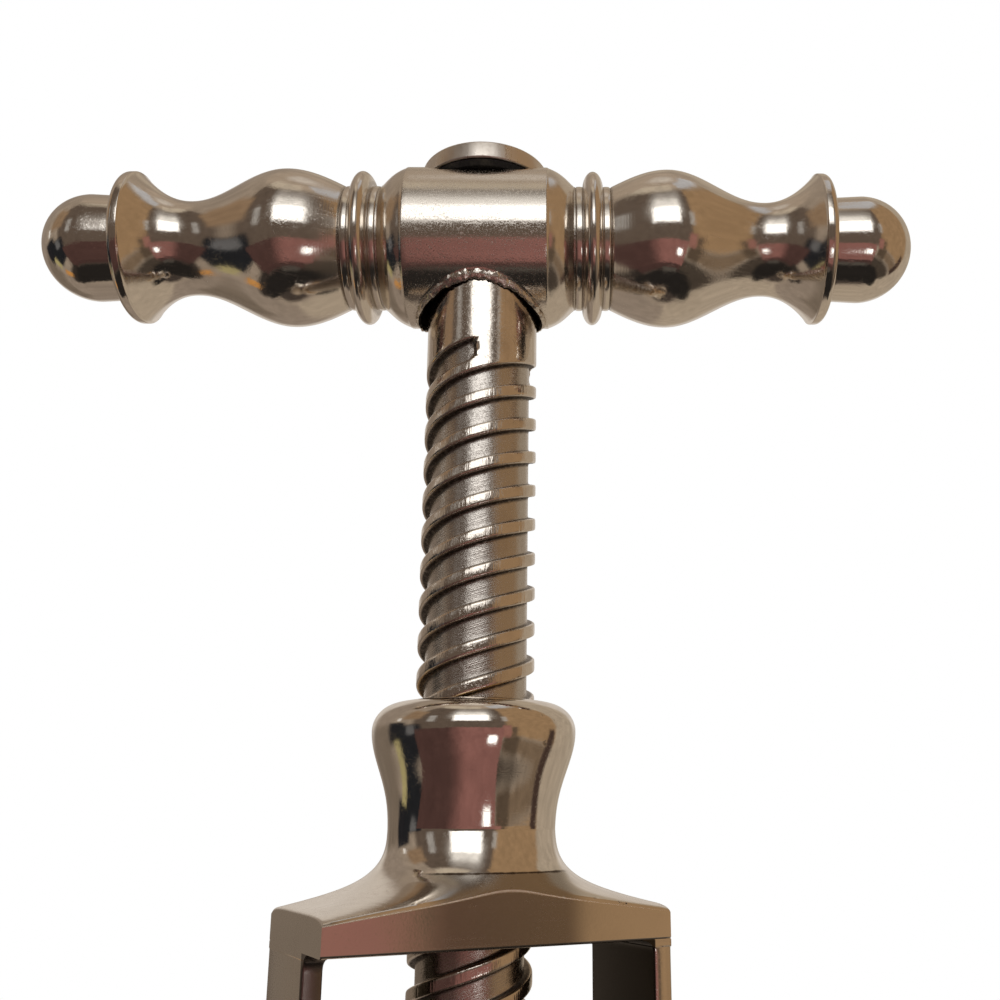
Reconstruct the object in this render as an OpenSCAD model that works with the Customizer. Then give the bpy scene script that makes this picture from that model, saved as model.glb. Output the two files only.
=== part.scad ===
// Open-frame corkscrew: a turned bar handle on a three-start screw that runs in a two-legged frame.
// The origin is the centre of the ring's bottom face, +Z is up along the screw, and the legs stand on X.

/* [Bottle ring] */
// How far the ring stands out past the legs
ring_lip = 3.3; // [2.5:0.1:4.5]
// Bore that drops over the lip of the bottle
bottle_bore_d = 30.5; // [28:0.25:32]
// Depth of that bore
bottle_bore_h = 10; // [7:0.5:16]
// Thickness of the plate that rests on the bottle
ring_plate_t = 3; // [2.5:0.25:6]
// Hole in the plate that the cork is drawn through
cork_hole_d = 22; // [18:0.5:26]
// Depth of the hollow turned round the outside of the ring
ring_cove = 1.6; // [0.5:0.1:2.2]
// Rounding of the ring's outer edges
ring_edge_r = 1; // [0.3:0.1:1.4]

/* [Legs] */
// Window height, from the ring to the underside of the bar
leg_len = 70; // [60:1:90]
// Width of a leg; it is flush with the bar's back on the left and with its front on the right
leg_w = 12.6; // [9:0.1:14]
// Thickness of a leg
leg_t = 1.9; // [1.6:0.1:3]
// Rounding between a leg's free edge and the bar or the ring
leg_sweep = 1.7; // [0.5:0.1:2.5]
// Rounding between a leg's inner face and the bar or the ring
window_r = 1.2; // [0.5:0.1:2.5]
// Length of the tenon that a leg has at each end
tenon_l = 1.6; // [1:0.1:2]
// Width of that tenon
tenon_w = 7; // [5:0.5:8.5]

/* [Frame head] */
// Width of the bar across the legs
bar_w = 34.1; // [33:0.1:40]
// Depth of the bar, front to back
bar_d = 18.3; // [17.6:0.1:20]
// Height of the bar at its corners
bar_end_h = 2.85; // [2.4:0.05:5]
// Height from the bar's corners up to the narrowest part of the neck
flare_h = 7.5; // [6:0.25:10]
// Narrowest diameter of the neck
neck_d = 16.8; // [16.4:0.1:17.2]
// Largest diameter of the collar
collar_d = 20.4; // [18.5:0.1:24]
// Height of the collar above the narrowest part of the neck
collar_h = 12.6; // [10:0.2:18]
// Height of the rounded shoulder at the collar's top
shoulder_h = 2.7; // [1.5:0.1:4]
// Diameter of the flat on top of the collar
collar_top_d = 14.8; // [14.6:0.1:16]

/* [Screw] */
// Outside diameter of the screw
screw_d = 12; // [11:0.1:12.2]
// Depth of the thread
thread_depth = 0.8; // [0.5:0.05:1]
// Distance between neighbouring threads
thread_pitch = 3.75; // [3:0.05:4.5]
// Number of threads that run side by side
thread_starts = 3; // [2:1:4]
// Share of the pitch that stays as a land
land_share = 0.34; // [0.25:0.01:0.45]
// Play of the thread in its nut
thread_play = 0.25; // [0.2:0.01:0.3]
// Length of screw left above the collar before the thread runs out
thread_left = 37; // [30:0.5:40]
// Length of the plain end below the thread
screw_end_l = 8; // [6:0.5:9]
// How far the screw reaches below the bar
screw_drop = 15; // [12:0.5:24]
// Outside diameter of the nut in the collar
nut_d = 14.4; // [14.2:0.1:14.6]
// Thickness of the seat that stops the nut at its lower end
nut_seat_t = 1; // [0.6:0.1:2]
// Depth of the nut's top below the collar's top
nut_sink = 0.5; // [0.1:0.1:1.5]

/* [Worm] */
// Outside diameter of the worm
worm_d = 9.6; // [8.5:0.1:11]
// Diameter of the worm's wire
worm_wire_d = 3.2; // [2.6:0.1:3.6]
// Height of the worm's point over the ring at rest
worm_tip_gap = 0.6; // [0.4:0.2:10]
// Length over which the worm tapers to its point
worm_taper_l = 13; // [8:0.5:18]
// Diameter of the worm's shank in the screw
shank_d = 4.6; // [4:0.1:5]
// Length of that shank
shank_l = 7; // [5.5:0.25:8]
// Diameter of the pin across the shank
worm_pin_d = 2; // [1.5:0.1:2.4]

/* [Handle] */
// Height of the handle's axis over the collar at rest
handle_rise = 51.1; // [48:0.1:60]
// Turn of the handle from the frame's width at rest
handle_turn = -27.3; // [-90:0.1:90]
// How far the handle stands off the middle of the screw, along itself
handle_shift = -0.5; // [-0.8:0.1:0.8]
// Diameter of the barrel
barrel_d = 17.75; // [17.5:0.05:20]
// Length of the barrel's plain middle
barrel_l = 15.85; // [15.5:0.05:22]
// Length of the cone at each end of the barrel
barrel_cone_l = 2.9; // [2:0.1:4]
// Diameter at the bottom of the grooves
groove_d = 13.55; // [12.5:0.05:15]
// Length of a bead ring
bead_l = 3.9; // [3:0.1:5]
// Diameter over the bead
bead_d = 16.9; // [16:0.1:19]
// Thickness of the bead
bead_w = 2.2; // [1.5:0.1:2.6]
// Length of a grip
grip_l = 24.4; // [23:0.1:34]
// Diameter of the grip's bulb
bulb_d = 17.4; // [16:0.1:20]
// Distance of the bulb's fullest part from the grip's inner end
bulb_at = 6.4; // [5:0.1:8]
// Diameter of the grip's waist
waist_d = 10.35; // [9.5:0.05:12]
// Distance of the waist from the grip's inner end
waist_at = 17.4; // [14:0.1:18.5]
// Diameter of the lip at the grip's outer end
lip_d = 16.7; // [16:0.1:20]
// Thickness of that lip
lip_t = 1.3; // [1:0.1:1.6]
// How far the lip rounds off towards the cap
lip_round = 0.7; // [0.3:0.1:1.2]
// Diameter of the domed end cap
cap_d = 11.8; // [11:0.1:14]
// Length of the cap's straight part
cap_l = 3.95; // [3:0.05:7]
// Diameter of the rod through the whole handle
rod_d = 5; // [4.5:0.1:5.4]
// Length of rod screwed into each cap
rod_grip_l = 5; // [4:0.1:6.5]

/* [Screw head] */
// Diameter of the disc head on top of the screw
head_d = 14.4; // [14:0.1:15]
// Thickness of the disc head
head_t = 2; // [1.5:0.1:3]
// Diameter of the stud under the disc head
head_stud_d = 5; // [4:0.1:6]
// Length of that stud
head_stud_l = 3.6; // [2.5:0.1:4]
// Diameter of the pocket in the barrel under the head
pocket_d = 15.6; // [15.2:0.1:16.2]
// Depth of that pocket under the barrel's top
pocket_depth = 2.7; // [2.3:0.1:3.2]
// Gap round the screw in the barrel
barrel_gap = 0.6; // [0.4:0.05:0.7]
// Outside diameter of the washer under the head
washer_d = 14; // [13.8:0.1:14.4]
// Thickness of that washer
washer_t = 0.9; // [0.7:0.1:1.4]

/* [Clearances] */
// Clearance of pieces that are fixed in one another
fit_gap = 0.02; // [0.01:0.01:0.04]
// Running clearance of the washer round the screw and between its faces
run_gap = 0.06; // [0.03:0.01:0.09]

/* [Hidden] */

$fn = 96;
eps = 0.01;

nickel = [0.80, 0.75, 0.69];
steel = [0.62, 0.60, 0.58];
bronze = [0.70, 0.55, 0.35];
blackened = [0.16, 0.15, 0.14];

ring_d = bar_w + 2 * ring_lip;
leg_set = (bar_d - leg_w) / 2;
ring_h = bottle_bore_h + ring_plate_t;
bar_z = ring_h + leg_len;
neck_z = bar_z + bar_end_h + flare_h;
collar_z = neck_z + collar_h;
handle_z = collar_z + handle_rise;

thread_lead = thread_pitch * thread_starts;
screw_end_z = bar_z - screw_drop;
thread_z = screw_end_z + screw_end_l;
thread_top_z = collar_z + thread_left;
pocket_floor = barrel_d / 2 - pocket_depth;
head_z = handle_z + pocket_floor + washer_t + 2 * run_gap;
root_d = screw_d - 2 * thread_depth;
// How far the core under the thread runs into the plain lengths
core_join = 0.5;

nut_z = bar_z + nut_seat_t;
nut_l = collar_z - nut_sink - nut_z;

// Side of the screw and height over the neck where the middle of a land shows at rest
land_side = -22.6;
land_rise = 46.35;
thread_steps = 18;

bead_at = barrel_l / 2 + barrel_cone_l;
grip_at = bead_at + bead_l;
cap_at = grip_at + grip_l;
bore_d = rod_d + 2 * fit_gap;

// Growth of the flare under the neck: out to the sides, to the front, and how square it becomes
flare_out = (bar_w - neck_d) / 2 + 1.85;
flare_front = (bar_d - neck_d) / 2 + 4.55;
flare_square = 1.5;
side_power = 3.3;
front_power = 5.5;
square_power = 4;
// Fine step under the collar, and the length of the core that runs through it
neck_step = 0.04;
neck_core_l = 3;

// Stands a shape that is turned about Z along the handle, on side 1 or -1
module along_handle(side) {
    translate([0, 0, handle_z])
        rotate([0, 0, handle_turn + (side > 0 ? 0 : 180)])
            rotate([0, 90, 0])
                translate([0, 0, side * handle_shift])
                    children();
}

// Quarter turn of points about a centre, from one angle to another
function arc(centre, r, from, to, n = 8) =
    [for (i = [0:n]) centre + r * [cos(from + (to - from) * i / n), sin(from + (to - from) * i / n)]];

module bottle_ring() {
    outer = ring_d / 2;
    foot = outer - ring_cove;
    outline = concat(
        [[bottle_bore_d / 2, 0]],
        arc([foot - ring_edge_r, ring_edge_r], ring_edge_r, -90, 0),
        [for (i = [0:12]) [
            foot + ring_cove * pow(i / 12, 3),
            ring_h * 0.3 + (ring_h * 0.7 - ring_plate_t) * i / 12
        ]],
        arc([outer - ring_edge_r, ring_h - ring_edge_r], ring_edge_r, 0, 90),
        [[cork_hole_d / 2, ring_h], [cork_hole_d / 2, bottle_bore_h], [bottle_bore_d / 2, bottle_bore_h]]
    );
    color(nickel)
        difference() {
            rotate_extrude() polygon(outline);
            for (side = [-1, 1])
                leg_mortise(side, ring_h - tenon_l - fit_gap);
        }
}

// Slot for a leg's tenon, from the given height upwards
module leg_mortise(side, z) {
    translate([side * (bar_w / 2 - leg_t / 2), -side * leg_set, z + (tenon_l + 2 * fit_gap) / 2])
        cube([leg_t / 2 + 2 * fit_gap, tenon_w + 2 * fit_gap, tenon_l + 2 * fit_gap], center = true);
}

// Leg seen from the side: a strap with one edge flush with the bar, and one that sweeps out at both ends
module leg_side_outline() {
    flush = -bar_d / 2;
    reach = flush + leg_w + leg_sweep;
    polygon(concat(
        [[flush, leg_len], [flush, 0]],
        arc([reach, leg_sweep], leg_sweep, 270, 180),
        arc([reach, leg_len - leg_sweep], leg_sweep, 180, 90)
    ));
}

// Leg seen from the front: a strap with a rounded inner corner at both ends
module leg_front_outline() {
    inner = bar_w / 2 - leg_t;
    polygon(concat(
        [[bar_w / 2, 0], [bar_w / 2, leg_len]],
        arc([inner - window_r, leg_len - window_r], window_r, 90, 0),
        arc([inner - window_r, window_r], window_r, 0, -90)
    ));
}

module leg(side) {
    color(nickel)
        translate([0, 0, ring_h]) {
            intersection() {
                rotate([90, 0, 90])
                    translate([0, 0, side > 0 ? 0 : -bar_w])
                        linear_extrude(bar_w)
                            scale([side, 1])
                                leg_side_outline();
                rotate([90, 0, 0])
                    translate([0, 0, -bar_d])
                        linear_extrude(2 * bar_d)
                            scale([side, 1])
                                leg_front_outline();
            }
            for (z = [-tenon_l / 2, leg_len + tenon_l / 2])
                translate([side * (bar_w / 2 - leg_t / 2), -side * leg_set, z])
                    cube([leg_t / 2, tenon_w, tenon_l + eps], center = true);
        }
}

module left_leg() leg(-1);
module right_leg() leg(1);

// Point of the flare's outline at an angle, a depth below the neck
function flare_part(c, half, n) = sign(c) * half * pow(abs(c), 2 / n);
function flare_point(a, u) =
    let (
        side = neck_d / 2 - neck_step + flare_out * pow(u / flare_h, side_power),
        front = neck_d / 2 - neck_step + flare_front * pow(u / flare_h, front_power),
        n = 2 + flare_square * pow(u / flare_h, square_power)
    )
    [flare_part(cos(a), side, n), flare_part(sin(a), front, n), neck_z - u];

// Solid that spreads from the round neck to the square bar
module flare() {
    sides = 48;
    levels = 15;
    drops = [for (i = [0:levels]) flare_h * i / levels];
    rings = concat(
        [[for (a = [0:sides - 1]) flare_point(360 * a / sides, flare_h) - [0, 0, bar_end_h + eps]]],
        [for (i = [levels:-1:0]) [for (a = [0:sides - 1]) flare_point(360 * a / sides, drops[i])]]
    );
    last = len(rings) - 1;
    polyhedron(
        points = [for (ring = rings) each ring],
        faces = concat(
            [[for (a = [0:sides - 1]) a]],
            [for (k = [0:last - 1], a = [0:sides - 1]) let (b = (a + 1) % sides)
                [k * sides + a, (k + 1) * sides + a, (k + 1) * sides + b]],
            [for (k = [0:last - 1], a = [0:sides - 1]) let (b = (a + 1) % sides)
                [k * sides + a, (k + 1) * sides + b, k * sides + b]],
            [[for (a = [sides - 1:-1:0]) last * sides + a]]
        )
    );
}

// Collar over the neck: it swells towards the top and ends in a rounded shoulder
function collar_swell(t) = (neck_d + (collar_d - neck_d) * (1 - cos(180 * pow(t, 1.25))) / 2) / 2;

module collar() {
    swell_h = collar_h - shoulder_h;
    shoulder_w = (collar_d - collar_top_d) / 2;
    outline = concat(
        [[0, 0]],
        [for (i = [0:14]) [collar_swell(i / 14), swell_h * i / 14]],
        [for (i = [1:10]) [
            collar_top_d / 2 + shoulder_w * cos(9 * i),
            swell_h + shoulder_h * sin(9 * i)
        ]],
        [[0, collar_h]]
    );
    translate([0, 0, neck_z])
        rotate_extrude()
            polygon(outline);
}

module frame_head() {
    color(nickel)
        difference() {
            union() {
                intersection() {
                    flare();
                    translate([-bar_w / 2, -bar_d / 2, bar_z])
                        cube([bar_w, bar_d, bar_end_h + flare_h]);
                }
                collar();
                translate([0, 0, neck_z - neck_core_l / 2])
                    cylinder(d = (nut_d + neck_d) / 2, h = neck_core_l);
            }
            translate([0, 0, nut_z])
                cylinder(d = nut_d + 2 * fit_gap, h = collar_z - nut_z + eps);
            translate([0, 0, bar_z - eps])
                cylinder(d = screw_d + 4 * thread_play, h = nut_seat_t + 2 * eps);
            for (side = [-1, 1])
                leg_mortise(side, bar_z - fit_gap);
        }
}

// Cross-section of the thread: lands on a round core, all grown by the given play
module thread_section(play) {
    widen = 360 * play / thread_lead;
    start = 360 / thread_starts;
    land = start * land_share + 2 * widen;
    steps = max(2, round(land * thread_steps / 360));
    root_steps = max(3, round((start - land) * thread_steps / 360));
    polygon([
        for (s = [0:thread_starts - 1])
            each concat(
                [for (i = [0:steps]) let (a = s * start - land / 2 + land * i / steps)
                    (screw_d / 2 + play) * [cos(a), sin(a)]],
                [for (i = [0:root_steps]) let (a = s * start + land / 2 + (start - land) * i / root_steps)
                    (root_d / 2 + play) * [cos(a), sin(a)]]
            )
    ]);
}

// Right-hand thread between two heights, in step with the land that shows at rest
module thread_rod(z, h, play) {
    rise = z - (neck_z + land_rise);
    translate([0, 0, z])
        rotate([0, 0, land_side + 360 * rise / thread_lead])
            linear_extrude(h, twist = -360 * h / thread_lead,
                           slices = ceil(thread_steps * h / thread_lead), $fn = 6)
                thread_section(play);
}

module thread_nut() {
    spill = 1;
    color(bronze)
        difference() {
            translate([0, 0, nut_z])
                cylinder(d = nut_d, h = nut_l);
            thread_rod(nut_z - spill, nut_l + 2 * spill, thread_play);
        }
}

module screw() {
    color(steel)
        difference() {
            union() {
                translate([0, 0, screw_end_z])
                    cylinder(d = root_d * cos(180 / thread_steps), h = screw_end_l);
                thread_rod(thread_z, thread_top_z - thread_z, 0);
                translate([0, 0, thread_z - core_join])
                    cylinder(d = root_d - 2 * thread_depth, h = thread_top_z - thread_z + 2 * core_join);
                translate([0, 0, thread_top_z])
                    cylinder(d = screw_d, h = head_z - thread_top_z);
            }
            translate([0, 0, screw_end_z - eps])
                cylinder(d = shank_d + 2 * fit_gap, h = shank_l + fit_gap);
            translate([0, 0, worm_pin_z])
                rotate([90, 0, 0])
                    cylinder(d = worm_pin_d + 2 * fit_gap, h = screw_d, center = true);
            along_handle(1)
                cylinder(d = bore_d, h = 2 * screw_d, center = true);
            translate([0, 0, head_z - head_stud_l - fit_gap])
                cylinder(d = head_stud_d + 2 * fit_gap, h = head_stud_l + 1);
        }
}

worm_pin_z = screw_end_z + screw_end_l / 2;
worm_tip_z = ring_h + worm_tip_gap;
worm_len = screw_end_z - worm_tip_z;
worm_turns = worm_len / thread_lead;
worm_mid_r = (worm_d - worm_wire_d) / 2;
worm_rings = 22;
worm_sides = 10;

// Middle of the wire at a share of its length: it leaves the axis in its first half turn
function ease(t) = t <= 0 ? 0 : t >= 1 ? 1 : t * t * (3 - 2 * t);
function worm_mid(s) =
    let (turn = s * worm_turns, r = worm_mid_r * ease(turn / 0.5), a = -360 * turn)
    [r * cos(a), r * sin(a), screw_end_z - s * worm_len];
function worm_wire_r(s) =
    let (left = (1 - s) * worm_len)
    (worm_wire_d / 2) * (left >= worm_taper_l ? 1 : 0.06 + 0.94 * sqrt(left / worm_taper_l));
function unit(v) = v / norm(v);
function worm_ring(s) =
    let (
        step = 0.002,
        ahead = unit(worm_mid(s + step) - worm_mid(max(0, s - step))),
        along = s == 0 ? [0, 0, -1] : ahead,
        u = unit(cross(along, [sin(-360 * s * worm_turns), -cos(-360 * s * worm_turns), 0])),
        v = cross(along, u)
    )
    [for (i = [0:worm_sides - 1]) let (a = 360 * i / worm_sides)
        worm_mid(s) + worm_wire_r(s) * (cos(a) * u + sin(a) * v)];

module worm() {
    count = ceil(worm_turns * worm_rings);
    rings = [for (k = [0:count]) worm_ring(k / count)];
    color(steel)
        difference() {
            union() {
                translate([0, 0, screw_end_z])
                    cylinder(d = shank_d, h = shank_l);
                polyhedron(
                    points = [for (ring = rings) each ring],
                    faces = concat(
                        [[for (i = [0:worm_sides - 1]) i]],
                        [for (k = [0:count - 1], i = [0:worm_sides - 1]) let (j = (i + 1) % worm_sides)
                            [k * worm_sides + i, (k + 1) * worm_sides + i, (k + 1) * worm_sides + j]],
                        [for (k = [0:count - 1], i = [0:worm_sides - 1]) let (j = (i + 1) % worm_sides)
                            [k * worm_sides + i, (k + 1) * worm_sides + j, k * worm_sides + j]],
                        [[for (i = [worm_sides - 1:-1:0]) count * worm_sides + i]]
                    )
                );
            }
            translate([0, 0, worm_pin_z])
                rotate([90, 0, 0])
                    cylinder(d = worm_pin_d + 2 * fit_gap, h = screw_d, center = true);
        }
}

module worm_pin() {
    color(steel)
        translate([0, 0, worm_pin_z])
            rotate([90, 0, 0])
                cylinder(d = worm_pin_d, h = root_d * 0.96, center = true);
}

module handle_barrel() {
    color(nickel)
        difference() {
            along_handle(1)
                rotate_extrude()
                    polygon([
                        [bore_d / 2, -bead_at], [groove_d / 2, -bead_at], [barrel_d / 2, -barrel_l / 2],
                        [barrel_d / 2, barrel_l / 2], [groove_d / 2, bead_at], [bore_d / 2, bead_at]
                    ]);
            translate([0, 0, handle_z - barrel_d])
                cylinder(d = screw_d + 2 * barrel_gap, h = 2 * barrel_d);
            translate([0, 0, handle_z + pocket_floor])
                cylinder(d = pocket_d, h = barrel_d);
        }
}

module handle_rod() {
    color(steel)
        along_handle(1)
            cylinder(d = rod_d, h = 2 * (cap_at + rod_grip_l), center = true);
}

// Ring with a half-round bead between two grooves
module bead(side) {
    middle = bead_l / 2;
    outline = concat(
        [[bore_d / 2, 0], [groove_d / 2, 0]],
        [for (i = [0:16]) [
            groove_d / 2 + (bead_d - groove_d) / 2 * sin(180 * i / 16),
            middle - bead_w / 2 * cos(180 * i / 16)
        ]],
        [[groove_d / 2, bead_l], [bore_d / 2, bead_l]]
    );
    color(nickel)
        along_handle(side)
            translate([0, 0, bead_at])
                rotate_extrude()
                    polygon(outline);
}

module left_bead() bead(-1);
module right_bead() bead(1);

// Turned grip: it swells from the groove to the bulb, falls to the waist and flares to the lip
module grip(side) {
    lip_at = grip_l - lip_t;
    edge = lip_t / 10;
    outline = concat(
        [[bore_d / 2, 0]],
        [for (i = [0:10]) [
            groove_d / 2 + (bulb_d - groove_d) / 2 * sin(9 * i),
            bulb_at * i / 10
        ]],
        [for (i = [1:18]) [
            (bulb_d + waist_d) / 4 + (bulb_d - waist_d) / 4 * cos(10 * i),
            bulb_at + (waist_at - bulb_at) * i / 18
        ]],
        [for (i = [1:12]) [
            waist_d / 2 + (lip_d / 2 - edge - waist_d / 2) * pow(i / 12, 2.15),
            waist_at + (lip_at - waist_at) * i / 12
        ]],
        arc([lip_d / 2 - edge, lip_at + edge], edge, -90, 0, 4),
        [for (i = [0:6]) [
            lip_d / 2 - lip_round * (1 - cos(15 * i)),
            lip_at + lip_t * (0.45 + 0.55 * sin(15 * i))
        ]],
        [[bore_d / 2, grip_l]]
    );
    color(nickel)
        along_handle(side)
            translate([0, 0, grip_at])
                rotate_extrude()
                    polygon(outline);
}

module left_grip() grip(-1);
module right_grip() grip(1);

// Domed cap, tapped for the end of the rod
module cap(side) {
    depth = rod_grip_l + 2 * fit_gap;
    outline = concat(
        [[bore_d / 2, 0], [cap_d / 2, 0]],
        arc([0, cap_l], cap_d / 2, 0, 90, 16),
        [[0, depth], [bore_d / 2, depth]]
    );
    color(nickel)
        along_handle(side)
            translate([0, 0, cap_at])
                rotate_extrude()
                    polygon(outline);
}

module left_cap() cap(-1);
module right_cap() cap(1);

// Disc head with a stud that screws into the top of the screw
module screw_head() {
    color(nickel) {
        translate([0, 0, head_z])
            cylinder(d = head_d, h = head_t);
        translate([0, 0, head_z - head_stud_l])
            cylinder(d = head_stud_d, h = head_stud_l + eps);
    }
}

module head_washer() {
    color(blackened)
        translate([0, 0, head_z - run_gap - washer_t])
            difference() {
                cylinder(d = washer_d, h = washer_t);
                translate([0, 0, -eps])
                    cylinder(d = screw_d + 2 * run_gap, h = washer_t + 2 * eps);
            }
}

bottle_ring();
left_leg();
right_leg();
frame_head();
thread_nut();
screw();
worm();
worm_pin();
handle_barrel();
handle_rod();
left_bead();
right_bead();
left_grip();
right_grip();
left_cap();
right_cap();
screw_head();
head_washer();
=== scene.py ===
import bpy
import bmesh
from functools import partialmethod
from math import atan2, ceil, copysign, cos, hypot, pi, radians, sin, sqrt
from types import SimpleNamespace
from mathutils import Matrix, Vector, noise as meshNoise


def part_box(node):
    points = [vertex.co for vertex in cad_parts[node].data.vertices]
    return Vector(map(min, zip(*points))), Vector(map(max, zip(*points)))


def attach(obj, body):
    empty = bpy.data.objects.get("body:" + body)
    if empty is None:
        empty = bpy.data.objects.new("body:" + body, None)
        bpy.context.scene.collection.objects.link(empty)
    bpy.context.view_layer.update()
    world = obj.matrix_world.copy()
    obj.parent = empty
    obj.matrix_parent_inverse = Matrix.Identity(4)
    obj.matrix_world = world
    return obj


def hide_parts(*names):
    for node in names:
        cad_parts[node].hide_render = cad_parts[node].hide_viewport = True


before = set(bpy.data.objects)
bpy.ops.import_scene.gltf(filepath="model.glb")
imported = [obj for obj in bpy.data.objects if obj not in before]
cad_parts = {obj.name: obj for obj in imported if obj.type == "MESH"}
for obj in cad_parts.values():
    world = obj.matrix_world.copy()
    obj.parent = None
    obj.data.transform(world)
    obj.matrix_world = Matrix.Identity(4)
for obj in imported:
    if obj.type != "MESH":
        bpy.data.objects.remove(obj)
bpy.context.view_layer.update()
scene = bpy.context.scene
mm = 0.001
print("frame loaded:", len(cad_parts), "nodes")

# places in mm that the pieces are set out from, most read off the solids
tenon, barEnd, flareHeight = 1.6, 2.85, 7.5
handleTurn, handleShift = radians(-27.3), -0.5
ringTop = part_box("left_leg")[0].z / mm + tenon
barBottom, collarTop = (corner.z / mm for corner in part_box("frame_head"))
screwEnd, headBottom = (corner.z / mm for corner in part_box("screw"))
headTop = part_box("screw_head")[1].z / mm
handleZ = sum(corner.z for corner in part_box("handle_rod")) / 2 / mm
neckZ = barBottom + barEnd + flareHeight
bothSides = ((-1, "left"), (1, "right"))
print("places read, neck at", round(neckZ, 2))


def setAll(thing, values):
    for key, value in values.items():
        setattr(thing, key, value)


# helpers for meshes

def shares(count, first=0):
    # even steps on the way from 0 to 1
    return [i / count for i in range(first, count + 1)]


def arcPoints(centre, radius, fromDeg, toDeg, count):
    points = []
    for i in range(count + 1):
        a = radians(fromDeg + (toDeg - fromDeg) * i / count)
        points.append((centre[0] + radius * cos(a), centre[1] + radius * sin(a)))
    return points


def spinLine(bm, points, steps, closed=False, angle=2 * pi, **more):
    # spins a line of points round Z
    verts = [bm.verts.new(point) for point in points]
    edges = [bm.edges.new(pair) for pair in zip(verts, verts[1:])]
    if closed:
        edges.append(bm.edges.new((verts[-1], verts[0])))
    bmesh.ops.spin(bm, geom=verts + edges, cent=(0, 0, 0), axis=(0, 0, 1), angle=angle, steps=steps, **more)


def turnedShape(points, steps=160, closed=False):
    # spins an outline of (radius, height) in mm
    bm = bmesh.new()
    spinLine(bm, [(r * mm, 0, z * mm) for r, z in points], steps, closed, use_merge=True)
    bmesh.ops.remove_doubles(bm, verts=bm.verts, dist=1e-6)
    return bm


def turnToHandle(bm):
    bmesh.ops.rotate(bm, cent=(0, 0, 0), matrix=Matrix.Rotation(handleTurn, 3, "Z"), verts=bm.verts)


def alongHandle(bm, side):
    # lays a shape that was turned about Z along the handle
    turn = handleTurn + (0 if side > 0 else pi)
    place = Matrix.Translation((0, 0, handleZ * mm))
    place = place @ Matrix.Rotation(turn, 4, "Z") @ Matrix.Rotation(pi / 2, 4, "Y")
    place = place @ Matrix.Translation((0, 0, side * handleShift * mm))
    bmesh.ops.transform(bm, matrix=place, verts=bm.verts)


def roundEdges(bm, edges, offset, segments=3):
    bmesh.ops.bevel(bm, geom=edges, offset=offset * mm, offset_type="OFFSET", segments=segments, profile=0.5,
                    affect="EDGES", material=-1, clamp_overlap=False)


def grownFrom(vert, olds):
    # the old vertex that this one was extruded from
    return [e.other_vert(vert) for e in vert.link_edges if e.other_vert(vert) in olds][0]


def closeEnds(bm):
    bmesh.ops.holes_fill(bm, edges=[e for e in bm.edges if e.is_boundary], sides=0)


def joinShape(bm, other):
    mesh = bpy.data.meshes.new("joined")
    other.to_mesh(mesh)
    other.free()
    bm.from_mesh(mesh)
    bpy.data.meshes.remove(mesh)


def makeObject(bm, name, sharpDeg=38):
    bmesh.ops.remove_doubles(bm, verts=bm.verts, dist=1e-6)
    bmesh.ops.recalc_face_normals(bm, faces=bm.faces)
    mesh = bpy.data.meshes.new(name)
    bm.to_mesh(mesh)
    bm.free()
    mesh.shade_smooth()
    mesh.set_sharp_from_angle(angle=radians(sharpDeg))
    obj = bpy.data.objects.new(name, mesh)
    scene.collection.objects.link(obj)
    return obj


def dress(obj, body, node, material):
    obj.data.materials.clear()
    obj.data.materials.append(material)
    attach(obj, body)
    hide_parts(node)
    print("piece", obj.name, "on", body, "-", len(obj.data.polygons), "faces")


def handlePair(points, steps, closed, sharpDeg, label, node, material):
    # the same turned piece on both halves of the handle
    for side, name in bothSides:
        bm = turnedShape(points, steps, closed)
        alongHandle(bm, side)
        dress(makeObject(bm, name + label, sharpDeg), "spindle", name + node, material)


def cutAway(obj, cutters):
    # boolean cuts, applied, with the cutters removed afterwards
    for cutter in cutters:
        cut = obj.modifiers.new("cut", "BOOLEAN")
        setAll(cut, {"operation": "DIFFERENCE", "solver": "EXACT", "object": cutter})
    bpy.context.view_layer.update()
    done = bpy.data.meshes.new_from_object(obj.evaluated_get(bpy.context.evaluated_depsgraph_get()))
    obj.modifiers.clear()
    obj.data = done
    for cutter in cutters:
        bpy.data.objects.remove(cutter)


# helpers for materials

class Signal:
    # a value on its way through a node tree, so that sums of nodes read as sums
    def __init__(self, socket):
        self.socket = socket
        self.tree = socket.id_data

    def run(self, operation, *others, kind="ShaderNodeMath"):
        made = addNode(self.tree, kind, operation=operation)
        for value, slot in zip((self, *others), made.inputs):
            plug(value, slot)
        return Signal(made.outputs[0])

    __add__ = partialmethod(run, "ADD")
    __sub__ = partialmethod(run, "SUBTRACT")
    __mul__ = partialmethod(run, "MULTIPLY")
    __truediv__ = partialmethod(run, "DIVIDE")
    __abs__ = partialmethod(run, "ABSOLUTE")

    def ramp(self, low, high, fromValue=0.0, toValue=1.0):
        # a smooth step, which falls where low is the larger
        ends = {"From Min": low, "From Max": high, "To Min": fromValue, "To Max": toValue}
        return output(self.tree, "ShaderNodeMapRange", interpolation_type="SMOOTHSTEP", Value=self, **ends)

    def mmRamp(self, low, high, *values):
        return self.ramp(low * mm, high * mm, *values)


def plug(value, slot):
    # links a value that nodes make, or sets a plain one
    if isinstance(value, Signal):
        value.tree.links.new(value.socket, slot)
    else:
        slot.default_value = (*value, 1) if slot.type == "RGBA" else value


def addNode(tree, kind, **settings):
    # settings are inputs or properties of the node
    made = tree.nodes.new(kind)
    for key, value in settings.items():
        if key in made.inputs:
            plug(value, made.inputs[key])
        else:
            setattr(made, key, value)
    return made


def output(tree, kind, slot=0, **settings):
    return Signal(addNode(tree, kind, **settings).outputs[slot])


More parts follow.
